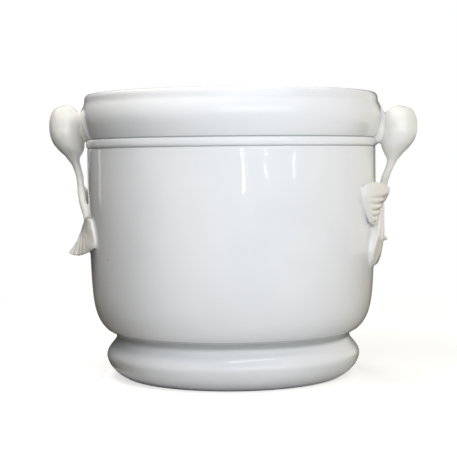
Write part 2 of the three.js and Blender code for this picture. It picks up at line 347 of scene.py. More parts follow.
# The wheel: a Geometry Nodes tree that turns an outline about the axis, with the waves of thrown clay

wheelValues = {
    "Steps Around": 288,
    "Ovality": 0.0006,        # share of the radius
    "Wobble": 0.0018,         # share of the radius
}

wheelFinish = {
    "joinWithin": 0.000004,   # metres, for the seam and the poles
    "sharpFrom": 48.0,        # degrees, a steeper edge stays crisp
}

wheelWaves = [
    # times round, radians per metre of height, phase, share of the wobble
    (2, 9.0, 0.4, 0.34),
    (3, -16.0, 2.1, 0.27),
    (5, 24.0, 4.4, 0.21),
    (9, 40.0, 1.2, 0.18),
]


def drawnIn(angle, z):
    # share of the radius that the turned wall keeps, z in metres
    wave = sum(share * (0.5 + 0.5 * np.sin(turns * angle + climb * z + phase))
               for turns, climb, phase, share in wheelWaves)
    return 1.0 - wheelValues["Wobble"] * wave - wheelValues["Ovality"] * np.sin(angle) ** 2


def makeWheelTree():
    tree, given, out = newTree("turnOnWheel", "GeometryNodeTree", [
        ("Outline", "Geometry"), ("Steps Around", "Int"), ("Ovality", "Float"), ("Wobble", "Float"),
        ("Material", "Material"),
    ], [("Piece", "Geometry")])
    tree.is_modifier = True
    size = newNode(tree, "GeometryNodeAttributeDomainSize", {"Geometry": given["Outline"]}, component="MESH")
    count = size.outputs["Point Count"]
    columns = plus(tree, given["Steps Around"], 1.0)
    grid = newNode(tree, "GeometryNodeMeshGrid", {"Vertices X": columns, "Vertices Y": count})
    index = newNode(tree, "GeometryNodeInputIndex").outputs[0]
    column = calc(tree, "FLOOR", calc(tree, "DIVIDE", plus(tree, index, 0.5), count))
    row = minus(tree, index, times(tree, column, count))
    position = newNode(tree, "GeometryNodeInputPosition").outputs[0]
    spot = sampleAt(tree, given["Outline"], position, row, "FLOAT_VECTOR")
    place = newNode(tree, "ShaderNodeSeparateXYZ", {0: spot}).outputs
    angle = times(tree, calc(tree, "DIVIDE", column, given["Steps Around"]), 2 * math.pi)
    sine = calc(tree, "SINE", angle)
    wave = 0.5 * sum(share for turns, climb, phase, share in wheelWaves)
    for turns, climb, phase, share in wheelWaves:
        turned = calc(tree, "MULTIPLY_ADD", angle, float(turns), phase)
        turned = calc(tree, "MULTIPLY_ADD", place[2], climb, turned)
        wave = calc(tree, "MULTIPLY_ADD", calc(tree, "SINE", turned), 0.5 * share, wave)
    kept = minus(tree, 1.0, times(tree, wave, given["Wobble"]))
    flattened = times(tree, times(tree, sine, sine), given["Ovality"])
    radius = times(tree, place[0], minus(tree, kept, flattened))
    x = times(tree, radius, calc(tree, "COSINE", angle))
    y = times(tree, radius, sine)
    turned = newNode(tree, "ShaderNodeCombineXYZ", {0: x, 1: y, 2: place[2]}).outputs[0]
    moved = newNode(tree, "GeometryNodeSetPosition", {"Geometry": grid.outputs["Mesh"], "Position": turned})
    hollow = sampleAt(tree, given["Outline"], namedValue(tree, "hollow"), row, "FLOAT")
    stored = newNode(tree, "GeometryNodeStoreNamedAttribute", {
        "Geometry": moved.outputs[0], "Name": "hollow", "Value": hollow,
    }, data_type="FLOAT", domain="POINT")
    endTree(tree, out["Piece"], stored.outputs[0], wheelFinish["joinWithin"], given["Material"])
    return tree


def grown(name, source, tree, values):
    # the tree's result on a source mesh, as a plain mesh
    carrier = newObject(name + "Source", source)
    modifier = carrier.modifiers.new("grow", "NODES")
    modifier.node_group = tree
    for item in tree.interface.items_tree:
        if item.item_type == "SOCKET" and item.in_out == "INPUT" and item.name in values:
            modifier[item.identifier] = values[item.name]
    graph = bpy.context.evaluated_depsgraph_get()
    mesh = bpy.data.meshes.new_from_object(carrier.evaluated_get(graph))
    bpy.data.objects.remove(carrier)
    mesh.name = name
    return mesh


def triangles(mesh):
    # corner places in millimetres and the triangles between them
    mesh.calc_loop_triangles()
    places = np.zeros(len(mesh.vertices) * 3, np.float32)
    mesh.vertices.foreach_get("co", places)
    corners = np.zeros(len(mesh.loop_triangles) * 3, np.int32)
    mesh.loop_triangles.foreach_get("vertices", corners)
    return places.reshape(-1, 3) / mm, corners.reshape(-1, 3)


def pointOut(mesh):
    # turns the faces outwards if the mesh encloses a negative volume, and gives the volume in cm3
    places, corners = triangles(mesh)
    a, b, c = places[corners].astype(float).transpose(1, 0, 2)
    volume = np.einsum("ij,ij->i", a, np.cross(b, c)).sum() / 6
    if volume < 0:
        mesh.flip_normals()
    return abs(volume) / 1000


def addPiece(name, mesh, nodes):
    mesh.name = name
    piece = newObject(name, mesh)
    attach(piece, "root")
    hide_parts(*nodes)


def turnPiece(name, tree, material, node):
    outside, rest = outlines[name]
    outline = outside + rest + ([outside[0]] if rest[-1][0] > 0 else [])
    edges = [(i, i + 1) for i in range(len(outline) - 1)]
    line = newMesh(name + "Outline", [(r * mm, 0.0, z * mm) for r, z in outline], edges, [])
    setAttribute(line, "hollow", hollowAt(outline))
    mesh = grown(name, line, tree, {**wheelValues, "Material": material})
    volume = pointOut(mesh)
    mesh.set_sharp_from_angle(angle=math.radians(wheelFinish["sharpFrom"]))
    addPiece(name, mesh, [node])
    print(name, len(mesh.polygons), "faces", round(volume, 1), "cm3")


# Glaze: shader groups first, then the two materials

def placeGroup(tree, group, values):
    return newNode(tree, "ShaderNodeGroup", values, node_tree=group).outputs


def noise(tree, vector, scale, detail=2.0, distortion=0.0):
    given = {"Vector": vector, "Scale": scale, "Detail": detail, "Distortion": distortion}
    return newNode(tree, "ShaderNodeTexNoise", given).outputs[0]


def blendColour(tree, share, first, second):
    return newNode(tree, "ShaderNodeMix", {0: share, 6: first, 7: second}, data_type="RGBA").outputs[2]


def opaque(colour):
    return colour + (1.0,)


tintShape = {
    "cloudDetail": 3.0,
    "cloudWarp": 0.4,
    "cloudFrom": 0.36,        # level of the noise where the second tint starts
    "cloudTo": 0.66,
    "thinFrom": 0.25,         # bend of an edge where the glaze starts to thin
    "poolFrom": 0.05,         # bend of a crease where it starts to pool
}

surfaceShape = {
    "rippleDetail": 1.0,
    "pitDetail": 2.0,
    "glossDetail": 3.0,
    "glossFrom": 0.4,
    "glossTo": 0.7,
}

speckSoftness = 0.4           # share of a speck's radius that is fully dark


def makeTintGroup(shape):
    # colour of a glaze: faint clouds, darker in creases where it pools, on the body also painted shade there,
    # thinner on edges
    tree, given, out = newTree("glazeTint", "ShaderNodeTree", [
        ("Vector", "Vector"), ("Hollow", "Float"), ("Clear", "Color"), ("Cloud", "Color"), ("Pool", "Color"),
        ("Thin", "Color"), ("Cloud Size", "Float"), ("Pool Depth", "Float"), ("Thin Depth", "Float"),
    ], [("Colour", "Color")])
    clouds = noise(tree, given["Vector"], given["Cloud Size"], shape["cloudDetail"], shape["cloudWarp"])
    clouds = ramp(tree, clouds, shape["cloudFrom"], shape["cloudTo"])
    colour = blendColour(tree, clouds, given["Clear"], given["Cloud"])
    thin = ramp(tree, times(tree, given["Hollow"], -1.0), shape["thinFrom"], given["Thin Depth"])
    colour = blendColour(tree, thin, colour, given["Thin"])
    pooled = ramp(tree, given["Hollow"], shape["poolFrom"], given["Pool Depth"])
    feed(tree, out["Colour"], blendColour(tree, pooled, colour, given["Pool"]))
    return tree


def makeSurfaceGroup(shape):
    # height of the glaze's soft ripple and pitting, and its slightly uneven gloss
    tree, given, out = newTree("glazeSurface", "ShaderNodeTree", [
        ("Vector", "Vector"), ("Ripple Size", "Float"), ("Ripple", "Float"), ("Pit Size", "Float"),
        ("Pits", "Float"), ("Gloss", "Float"), ("Gloss Change", "Float"),
    ], [("Height", "Float"), ("Roughness", "Float")])
    ripple = noise(tree, given["Vector"], given["Ripple Size"], shape["rippleDetail"])
    pits = noise(tree, given["Vector"], given["Pit Size"], shape["pitDetail"])
    ripple = times(tree, ripple, given["Ripple"])
    feed(tree, out["Height"], plus(tree, ripple, times(tree, pits, given["Pits"])))
    uneven = noise(tree, given["Vector"], given["Ripple Size"], shape["glossDetail"])
    uneven = ramp(tree, uneven, shape["glossFrom"], shape["glossTo"])
    feed(tree, out["Roughness"], calc(tree, "MULTIPLY_ADD", uneven, given["Gloss Change"], given["Gloss"]))
    return tree


def makeSpeckGroup(softness):
    # mask of sparse dark specks from the kiln
    tree, given, out = newTree("kilnSpecks", "ShaderNodeTree", [
        ("Vector", "Vector"), ("Density", "Float"), ("Size", "Float"), ("Share", "Float"),
    ], [("Mask", "Float")])
    place = {"Vector": given["Vector"], "Scale": given["Density"]}
    cells = newNode(tree, "ShaderNodeTexVoronoi", place).outputs
    parts = newNode(tree, "ShaderNodeSeparateColor", {0: cells["Color"]}).outputs
    chosen = calc(tree, "LESS_THAN", parts[0], given["Share"])
    radius = times(tree, parts[1], given["Size"])
    dot = ramp(tree, cells["Distance"], radius, times(tree, radius, softness))
    feed(tree, out["Mask"], times(tree, chosen, dot))
    return tree


glazeGroups = {
    "tint": makeTintGroup(tintShape),
    "surface": makeSurfaceGroup(surfaceShape),
    "specks": makeSpeckGroup(speckSoftness),
}

bodyGlazeValues = {
    "clear": (0.823, 0.85, 0.888),
    "cloud": (0.798, 0.825, 0.866),
    # grey in the creases: glaze pooling and painted shade together, strongest in the neck under the heel
    "pool": (0.46, 0.485, 0.50),
    "thin": (0.80, 0.78, 0.75),
    "cloudSize": 22.0,
    "poolDepth": 0.55,
    "thinDepth": 2.6,
    "speckColour": (0.30, 0.28, 0.25),
    # dark grey painted along the foot's lowest edge as its contact shadow and dark reflection, where the ring
    # is also matt
    "paintedFootShade": (0.33, 0.335, 0.36),
    "footShadeFrom": 0.0002,    # metres up the foot, with painted dark shade below and the glaze colour above
    "footShadeTo": 0.0028,
    "footShadeWave": 0.0012,    # how far that border wanders up and down
    "footShadeWaves": 90.0,
    "footRingRoughness": 0.6,
}

handleGlazeValues = {
    "clear": (0.855, 0.86, 0.845),
    "cloud": (0.835, 0.835, 0.81),
    "pool": (0.70, 0.685, 0.61),
    "thin": (0.80, 0.77, 0.70),
    "cloudSize": 40.0,
    "poolDepth": 1.1,
    "thinDepth": 2.2,
    "speckColour": (0.30, 0.24, 0.17),
}

glossValues = {
    "Ripple Size": 55.0,
    "Ripple": 1.2,
    "Pit Size": 420.0,
    "Pits": 0.05,
    "Gloss": 0.045,
    "Gloss Change": 0.03,
}

speckValues = {
    "Density": 130.0,
    "Size": 0.11,
    "Share": 0.05,            # of the cells that hold a speck
}

reliefValues = {
    "Strength": 0.5,
    "Distance": 0.0006,
}

glazeIor = 1.6


def makeGlaze(name, values):
    material = bpy.data.materials.new(name)
    material.use_nodes = True
    tree = material.node_tree
    shader = tree.nodes["Principled BSDF"]
    place = newNode(tree, "ShaderNodeTexCoord").outputs["Object"]
    hollow = newNode(tree, "ShaderNodeAttribute", attribute_name="hollow").outputs["Fac"]
    colours = {key.title(): opaque(values[key]) for key in ("clear", "cloud", "pool", "thin")}
    colour = placeGroup(tree, glazeGroups["tint"], {
        "Vector": place, "Hollow": hollow, "Cloud Size": values["cloudSize"],
        "Pool Depth": values["poolDepth"], "Thin Depth": values["thinDepth"], **colours,
    })["Colour"]
    if "paintedFootShade" not in values:       # near the wall the handle's glaze passes into the body's
        away = newNode(tree, "ShaderNodeAttribute", attribute_name="offWall").outputs["Fac"]
        colour = blendColour(tree, away, opaque(bodyGlazeValues["clear"]), colour)
    specks = placeGroup(tree, glazeGroups["specks"], {"Vector": place, **speckValues})
    colour = blendColour(tree, specks["Mask"], colour, opaque(values["speckColour"]))
    surface = placeGroup(tree, glazeGroups["surface"], {"Vector": place, **glossValues})
    roughness = surface["Roughness"]
    if "paintedFootShade" in values:           # the ring that the pot stands on is made matt, and dark shade is painted on it
        height = newNode(tree, "ShaderNodeSeparateXYZ", {0: place}).outputs[2]
        wander = noise(tree, place, values["footShadeWaves"])
        level = calc(tree, "MULTIPLY_ADD", wander, values["footShadeWave"], height)
        level = minus(tree, level, values["footShadeWave"] / 2)
        paintedShadeAndMatt = ramp(tree, level, values["footShadeTo"], values["footShadeFrom"])
        colour = blendColour(tree, paintedShadeAndMatt, colour, opaque(values["paintedFootShade"]))
        matt = times(tree, paintedShadeAndMatt, values["footRingRoughness"])
        roughness = calc(tree, "MAXIMUM", roughness, matt)
    bump = newNode(tree, "ShaderNodeBump", {"Height": surface["Height"], **reliefValues})
    feed(tree, shader.inputs["Base Color"], colour)
    feed(tree, shader.inputs["Roughness"], roughness)
    feed(tree, shader.inputs["Normal"], bump.outputs[0])
    shader.inputs["IOR"].default_value = glazeIor
    return material


bodyGlaze = makeGlaze("bodyGlaze", bodyGlazeValues)
handleGlaze = makeGlaze("handleGlaze", handleGlazeValues)
print("glazes mixed")

wheelTree = makeWheelTree()
turnPiece("footRing", wheelTree, bodyGlaze, "foot_ring")
turnPiece("vesselBody", wheelTree, bodyGlaze, "vessel_body")
turnPiece("collarBand", wheelTree, bodyGlaze, "collar_band")
turnPiece("rimCollar", wheelTree, bodyGlaze, "rim_collar")


# Ribbed leaf: a Geometry Nodes tree that gives a patch its pressed ribs and its thickness

leafShape = {
    "grooveRoundness": 0.75,  # below 1 the ribs are rounder and the grooves between them sharper
    "rimSteepness": 9.0,
    "rimThickness": 0.55,     # share of the thickness that is left at the leaf's rim
    "lumps": 120.0,
    "joinWithin": 0.000002,   # metres
    "stepsAcross": 56,
    "rowSpacing": 0.9,
}


def alongNormal(tree, distance):
    normal = newNode(tree, "GeometryNodeInputNormal").outputs[0]
    given = {0: normal, "Scale": distance}
    return newNode(tree, "ShaderNodeVectorMath", given, operation="SCALE").outputs[0]


def makeLeafTree(shape):
    tree, given, out = newTree("ribbedLeaf", "GeometryNodeTree", [
        ("Patch", "Geometry"), ("Rib Count", "Float"), ("Rib Start", "Float"), ("Rib Turn", "Float"),
        ("Rib Sag", "Float"), ("Rib Depth", "Float"), ("Smooth Across", "Float"), ("Ribbed Across", "Float"),
        ("Smooth Down", "Float"), ("Ribbed Down", "Float"), ("Thickness", "Float"), ("Unevenness", "Float"),
        ("Seed", "Float"), ("Material", "Material"),
    ], [("Leaf", "Geometry")])
    tree.is_modifier = True
    across, down = namedValue(tree, "across"), namedValue(tree, "down")
    acrossLeft, downLeft = minus(tree, 1.0, across), minus(tree, 1.0, down)
    sag = times(tree, times(tree, across, acrossLeft), given["Rib Sag"])
    phase = times(tree, across, calc(tree, "COSINE", given["Rib Turn"]))
    phase = calc(tree, "MULTIPLY_ADD", down, calc(tree, "SINE", given["Rib Turn"]), phase)
    phase = minus(tree, phase, sag)
    phase = calc(tree, "MULTIPLY_ADD", phase, given["Rib Count"], given["Rib Start"])
    wave = calc(tree, "ABSOLUTE", calc(tree, "SINE", times(tree, phase, math.pi)))
    groove = minus(tree, calc(tree, "POWER", wave, shape["grooveRoundness"]), 1.0)
    edge = calc(tree, "MINIMUM", across, acrossLeft)
    edge = calc(tree, "MINIMUM", edge, calc(tree, "MINIMUM", down, downLeft))
    rim = calc(tree, "MINIMUM", times(tree, edge, shape["rimSteepness"]), 1.0)
    share = times(tree, ramp(tree, across, given["Smooth Across"], given["Ribbed Across"]),
                  ramp(tree, down, given["Smooth Down"], given["Ribbed Down"]))
    depth = times(tree, times(tree, groove, given["Rib Depth"]), share)
    place = newNode(tree, "GeometryNodeInputPosition").outputs[0]
    lumps = newNode(tree, "ShaderNodeTexNoise", {
        "Vector": place, "W": given["Seed"], "Scale": shape["lumps"], "Detail": 1.0,
    }, noise_dimensions="4D").outputs[0]
    uneven = times(tree, minus(tree, lumps, 0.5), given["Unevenness"])
    push = alongNormal(tree, plus(tree, depth, uneven))
    pressed = newNode(tree, "GeometryNodeSetPosition", {
        "Geometry": given["Patch"], "Offset": push,
    }).outputs[0]
    thinning = calc(tree, "MULTIPLY_ADD", rim, shape["rimThickness"] - 1.0, -shape["rimThickness"])
    inward = alongNormal(tree, times(tree, thinning, given["Thickness"]))
    thick = newNode(tree, "GeometryNodeExtrudeMesh", {
        "Mesh": pressed, "Offset": inward, "Individual": False,
    }, mode="FACES")
    turned = newNode(tree, "GeometryNodeFlipFaces", {0: thick.outputs["Mesh"]})
    joined = newNode(tree, "GeometryNodeJoinGeometry", {0: turned.outputs[0]})
    feed(tree, joined.inputs[0], pressed)
    endTree(tree, out["Leaf"], joined.outputs[0], shape["joinWithin"], given["Material"])
    return tree


leafTree = makeLeafTree(leafShape)

lowerLeafValues = {
    # rows from top to bottom, three places across each: side, distance below the fork, off the wall
    "rows": [
        [(21.0, 40.5, 2.6), (31.0, 38.6, 3.0), (42.0, 39.0, 1.8)],
        [(22.0, 46.9, 5.6), (34.0, 46.1, 4.2), (47.2, 45.9, 1.6)],
        [(22.0, 53.7, 9.0), (36.0, 53.6, 5.7), (50.2, 52.1, 1.6)],
        [(21.0, 58.5, 11.7), (35.5, 59.4, 7.2), (50.5, 56.1, 1.7)],
        [(19.5, 62.4, 15.6), (34.0, 63.6, 8.6), (49.7, 58.3, 1.6)],
    ],
    "Rib Count": 5.6,
    "Rib Start": 0.35,
    "Rib Turn": -0.42,
    "Rib Sag": 0.0,
    "Rib Depth": 0.0017,
    "Smooth Across": 0.75,
    "Ribbed Across": 0.25,
    "Smooth Down": 0.25,
    "Ribbed Down": 0.7,
    "Thickness": 0.0030,
    "Unevenness": 0.0012,
    "Seed": 2.0,
}

upperLeafValues = {
    "rows": [
        [(-46.7, 16.3, 0.6), (-38.0, 13.2, 6.4), (-16.0, 17.4, 10.6)],
        [(-47.0, 20.6, 0.6), (-37.0, 20.0, 6.9), (-13.4, 21.6, 9.8)],
        [(-44.5, 27.6, 0.6), (-36.5, 27.8, 6.4), (-19.4, 29.0, 6.6)],
        [(-40.0, 34.8, 0.7), (-35.0, 35.5, 5.6), (-25.0, 35.7, 5.4)],
        [(-35.4, 40.2, 0.9), (-31.6, 41.7, 4.4), (-24.6, 40.6, 4.4)],
    ],
    "Rib Count": 6.2,
    "Rib Start": 0.357,
    "Rib Turn": 1.571,
    "Rib Sag": 0.26,
    "Rib Depth": 0.0014,
    "Smooth Across": 0.2,
    "Ribbed Across": 0.45,
    "Smooth Down": 0.12,
    "Ribbed Down": 0.72,
    "Thickness": 0.0032,
    "Unevenness": 0.001,
    "Seed": 7.0,
}


# Handles: each is a bulb, pad, stem, branch end and two leaves, luted together and to the pot

handleValues = {
    # neck and stem from the bulb downwards, as (out, side, above the bulb's tip, radius)
    "right": {
        "turn": 0.0, "tip": 149.6, "fork": 147.8, "crown": 3.1, "lean": 0.6,
        "stem": [
            (16.45, 0.0, 18.8, 12.0), (16.0, 0.0, 15.9, 11.75), (15.3, 0.0, 13.4, 11.35),
            (14.6, 0.0, 11.4, 10.8), (13.8, 0.0, 9.2, 9.8), (13.05, 0.0, 6.7, 8.2), (12.4, 0.0, 4.2, 6.4),
            (11.75, 0.0, 1.8, 4.65), (11.25, 0.0, 0.0, 3.6), (10.7, 0.05, -1.8, 2.95), (9.0, 0.1, -6.6, 2.58),
            (7.95, 0.4, -9.4, 2.55), (6.4, 1.4, -13.4, 2.6), (5.4, 3.6, -18.0, 2.6), (4.6, 6.6, -23.0, 2.6),
        ],
        "lowerRaise": 7.7, "lowerFlare": 0.82, "upperRaise": 0.0, "upperFlare": 1.0,
    },
    "left": {
        "turn": math.pi, "tip": 153.0, "fork": 151.2, "crown": 2.4, "lean": 1.2,
        "stem": [
            (16.4, 0.0, 17.0, 11.95), (15.7, 0.0, 13.0, 11.5), (14.7, 0.0, 9.4, 10.7), (14.0, 0.0, 7.4, 9.95),
            (13.35, 0.0, 5.5, 8.95), (12.8, 0.0, 3.6, 7.5), (12.2, 0.0, 1.6, 5.85), (11.75, 0.0, 0.1, 4.75),
            (11.2, 0.0, -1.4, 3.85), (10.3, 0.05, -3.8, 3.1), (8.85, 0.2, -8.3, 2.65), (7.3, 0.9, -14.3, 2.5),
            (6.3, 3.0, -20.2, 2.45), (5.6, 5.6, -24.4, 2.55),
        ],
        "lowerRaise": -1.2, "lowerFlare": 1.0, "upperRaise": -11.5, "upperFlare": 0.6,
    },
}

handleParts = ("bulb", "bulb_pad", "stem", "branch_end", "lower_leaf", "upper_leaf")

bulbValues = {
    "radius": 12.05,
    "widest": 21.0,           # above the bulb's tip
    "height": 37.0,
    "out": 16.62,             # its middle from the wall
    "broad": 1.03,            # width along the wall over depth
    "rings": (1.0, 0.995, 0.97, 0.92, 0.84, 0.72, 0.56, 0.36, 0.16, 0.0),    # from its crown to its widest
    "crownRadius": 0.02,
}

stemEnd = [
    # out, side, below the fork, share of the lower leaf's raise, half depth, half width
    (3.4, 15.0, 30.0, 0.5, 2.45, 2.6),
    (1.8, 21.5, 36.0, 0.85, 2.3, 2.5),
    (1.4, 24.5, 39.5, 1.0, 2.0, 2.4),
]

branchStations = [
    # out, side, below the fork, half depth, half width
    (4.4, 2.6, 19.5, 1.6, 1.6),
    (3.6, -1.6, 24.0, 2.2, 2.8),
    (3.0, -7.0, 30.0, 3.0, 5.0),
    (2.7, -11.5, 38.0, 3.6, 9.0),
    (2.6, -14.2, 47.0, 4.2, 12.2),
    (2.1, -15.8, 55.5, 4.2, 13.6),
    (1.3, -18.0, 62.6, 3.6, 13.2),
    (0.6, -19.4, 67.6, 2.4, 10.2),
    (0.0, -20.0, 71.0, 0.8, 3.4),
]

sweepValues = {
    "spacing": 0.8,           # along a swept part
    "stemSides": 48,
    "stemLevelFrom": 3.0,     # a wider ring of the bulb lies level
    "levelOver": 3.0,
    "branchSides": 72,
    "branchRidges": 0.06,     # share of its radius
    "ridgeCount": 6,
}

padValues = {
    "middle": 21.8,           # above the bulb's tip
    "halfHeight": 10.7,
    "halfSide": 5.6,
    "flareFrom": 6.2,         # nearer the wall than this it spreads up over the collar's shoulder
    "flareTo": 2.4,
    "flareUp": 1.8,
    "flareSide": 0.5,
    "from": -2.5,             # its two ends, from the wall
    "to": 13.5,
    "rings": 14,
    "sides": 40,
}

fuseValues = {
    "cell": 0.45,
    "quickCell": 0.9,
    "band": 4.0,              # distances are known this far from a surface
    "padFillet": 1.1,
    "branchFillet": 1.3,
    "leafFillet": 1.5,
    "wallFillet": 2.4,
    "reach": 3.4,             # how far the handle's slip runs over the pot
    "sink": 0.15,             # its edge goes this far under the pot's glaze
    "raise": 0.012,
    "skin": 0.9,              # depth that the handle goes into the pot
    "unevenness": 0.14,
    "waves": ((0.62, 1.0), (0.74, 2.0), (0.55, 0.0)),    # radians per millimetre and phase on x, y, z
    "wallFrom": 80.0,         # radii between which the distance to the pot is tabled
    "wallTo": 140.0,
    "wallStep": 0.4,
    "tintFrom": 0.1,          # off the wall the handle's own tint starts, and is full this much further
    "tintOver": 2.0,
}


def placeOn(turn, out, side, z):
    radius = wallAt(z) + out
    angle = turn + side / pot["wallRadius"]
    return radius * math.cos(angle), radius * math.sin(angle), z


def tubeFaces(sides, count):
    # triangles of a tube of rings, with its two end points listed after them
    low = np.arange(count - 1) * sides
    last = (count - 1) * sides
    top, bottom = count * sides, count * sides + 1
    faces = []
    for corner in range(sides):
        step = (corner + 1) % sides
        faces.append(np.stack([low + corner, low + step, low + step + sides], axis=1))
        faces.append(np.stack([low + corner, low + step + sides, low + corner + sides], axis=1))
        faces.append(np.array([[top, step, corner], [bottom, last + corner, last + step]]))
    return np.concatenate(faces)


def sweep(turn, stations, sides, ridges=0.0, upFrom=100.0):
    # closed tube through stations of out, side, z, half depth and half width
    # a ring wider than upFrom lies level
    stations = [placeOn(turn, *station[:3]) + tuple(station[3:]) for station in stations]
    line = np.array(smoothLine(stations, sweepValues["spacing"]))
    centre = line[:, :3]
    along = np.gradient(centre, axis=0)
    along /= np.linalg.norm(along, axis=1)[:, None]
    upright = np.clip((line[:, 4] - upFrom) / sweepValues["levelOver"], 0.0, 1.0)[:, None]
    along = along * (1.0 - upright) + np.array((0.0, 0.0, -1.0)) * upright
    along /= np.linalg.norm(along, axis=1)[:, None]
    away = centre * (1.0, 1.0, 0.0)
    away -= (away * along).sum(axis=1)[:, None] * along
    away /= np.linalg.norm(away, axis=1)[:, None]
    across = np.cross(along, away)
    angles = np.arange(sides) * 2 * math.pi / sides
    wave = 1.0 + ridges * np.cos(sweepValues["ridgeCount"] * angles)
    rings = (centre[:, None, :] + (line[:, 3, None] * wave * np.cos(angles))[:, :, None] * away[:, None, :]
             + (line[:, 4, None] * wave * np.sin(angles))[:, :, None] * across[:, None, :])
    points = np.concatenate([rings.reshape(-1, 3), centre[:1], centre[-1:]])
    return points, tubeFaces(sides, len(line))


def bulbAndStem(values):
    turn, tip, fork = values["turn"], values["tip"], values["fork"]
    stations = []
    for share in bulbValues["rings"]:
        radius = bulbValues["radius"] * max(1.0 - share ** values["crown"], 0.0) ** 0.5
        radius += bulbValues["crownRadius"]
        z = tip + bulbValues["widest"] + share * (bulbValues["height"] - bulbValues["widest"])
        stations.append((bulbValues["out"] + values["lean"] * share ** 2, 0.0, z, radius, radius))
    for out, side, rise, radius in values["stem"]:
        stations.append((out, side, tip + rise, radius, radius * bulbValues["broad"]))
    for out, side, drop, share, deep, wide in stemEnd:
        stations.append((out, side, fork - drop + share * values["lowerRaise"], deep, wide))
    return sweep(turn, stations, sweepValues["stemSides"], upFrom=sweepValues["stemLevelFrom"])


def pad(values):
    # short oval column between the collar and the bulb
    turn, middle = values["turn"], values["tip"] + padValues["middle"]
    sides = padValues["sides"]
    depths = np.linspace(padValues["from"], padValues["to"], padValues["rings"])
    points = []
    for depth in depths:
        flare = padValues["flareFrom"] - min(max(depth, padValues["flareTo"]), padValues["flareFrom"])
        wide = padValues["halfSide"] + padValues["flareSide"] * flare
        for angle in np.arange(sides) * 2 * math.pi / sides:
            up = padValues["halfHeight"] * math.sin(angle)
            up += padValues["flareUp"] * flare * max(math.sin(angle), 0.0)
            points.append((pot["wallRadius"] + depth, wide * math.cos(angle), middle + up))
    points += [(pot["wallRadius"] + depth, 0.0, middle) for depth in (depths[0], depths[-1])]
    cosine, sine = math.cos(turn), math.sin(turn)
    spun = np.array(points) @ np.array([[cosine, sine, 0.0], [-sine, cosine, 0.0], [0.0, 0.0, 1.0]])
    return spun, tubeFaces(sides, len(depths))


def branchEnd(values):
    fork = values["fork"]
    stations = [(out, side, fork - drop, deep, wide) for out, side, drop, deep, wide in branchStations]
    return sweep(values["turn"], stations, sweepValues["branchSides"], ridges=sweepValues["branchRidges"])


def leaf(name, turn, top, values, flare):
    rows = smoothLine([np.ravel(row) for row in values["rows"]], leafShape["rowSpacing"])
    shares = np.linspace(0.0, 1.0, leafShape["stepsAcross"] + 1)
    places, across, down = [], [], []
    for number, row in enumerate(rows):
        first, middle, last = np.array(row).reshape(3, 3)
        for s in shares:
            side, drop, off = (
                first * (1 - s) * (1 - 2 * s) + middle * 4 * s * (1 - s) + last * s * (2 * s - 1)
            )
            places.append(Vector(placeOn(turn, off * flare, side, top - drop)) * mm)
            across.append(s)
            down.append(number / (len(rows) - 1))
    patch = newMesh(name + "Patch", places, [], gridFaces(len(rows), len(shares)))
    setAttribute(patch, "across", across)
    setAttribute(patch, "down", down)
    return triangles(grown(name, patch, leafTree, {**values, "Material": handleGlaze}))


def potDistance(radii, z):
    # signed distance in the plane through the axis, below 0 inside the pot's outline
    a, b = potLine[:-1], potLine[1:]
    spots = np.stack([radii, np.full_like(radii, z)], axis=1)
    way = spots[:, None, :] - a[None, :, :]
    edge = (b - a)[None, :, :]
    share = np.clip((way * edge).sum(axis=2) / (edge ** 2).sum(axis=2), 0.0, 1.0)
    gap = np.linalg.norm(way - share[:, :, None] * edge, axis=2).min(axis=1)
    below = potLine[:potLine[:, 1].argmax()]
    return np.where(radii < np.interp(z, below[:, 1], below[:, 0]), -gap, gap)


def fused(first, second, width):
    # union of two distance fields with a fillet between them
    overlap = np.maximum(width - np.abs(first - second), 0.0) / width
    return np.minimum(first, second) - overlap ** 3 * (width / 6.0)


def bendOf(field, cell):
    # sum of both curvatures per millimetre, from the field smoothed once along each axis
    smooth = field
    for axis in range(3):
        smooth = (np.roll(smooth, 1, axis) + smooth + np.roll(smooth, -1, axis)) / 3
    bend = -6 * smooth
    for axis in range(3):
        bend += np.roll(smooth, 1, axis) + np.roll(smooth, -1, axis)
    return bend / cell ** 2


def sampled(field, spots):
    # values of the field between its grid points
    low = np.clip(np.floor(spots).astype(int), 0, np.array(field.shape) - 2)
    part = spots - low
    total = np.zeros(len(spots))
    for offset in np.ndindex(2, 2, 2):
        weight = np.where(offset, part, 1.0 - part).prod(axis=1)
        total += weight * field[tuple((low + offset).T)]
    return total


def distanceFields(parts, cell, grid, corner, shape):
    # distance to each part in a box of cells, below 0 inside it
    fields = {}
    for name, (points, faces) in parts.items():
        level = openvdb.FloatGrid.createLevelSetFromPolygons(
            points.astype(np.float32), triangles=faces.astype(np.uint32), transform=grid,
            halfWidth=fuseValues["band"] / cell)
        fields[name] = np.zeros(shape, np.float32)
        level.copyToArray(fields[name], ijk=corner)
    return fields


def wallField(x, y, z):
    # distance to the pot's outside, with the waves of the wheel
    radius = np.hypot(x[:, None], y[None, :])
    angle = np.arctan2(y[None, :], x[:, None])
    radii = np.arange(fuseValues["wallFrom"], fuseValues["wallTo"], fuseValues["wallStep"])
    wall = np.empty((len(x), len(y), len(z)), np.float32)
    for number, height in enumerate(z):
        gaps = potDistance(radii, height)
        wall[:, :, number] = np.interp(radius / drawnIn(angle, height * mm), radii, gaps)
    return wall


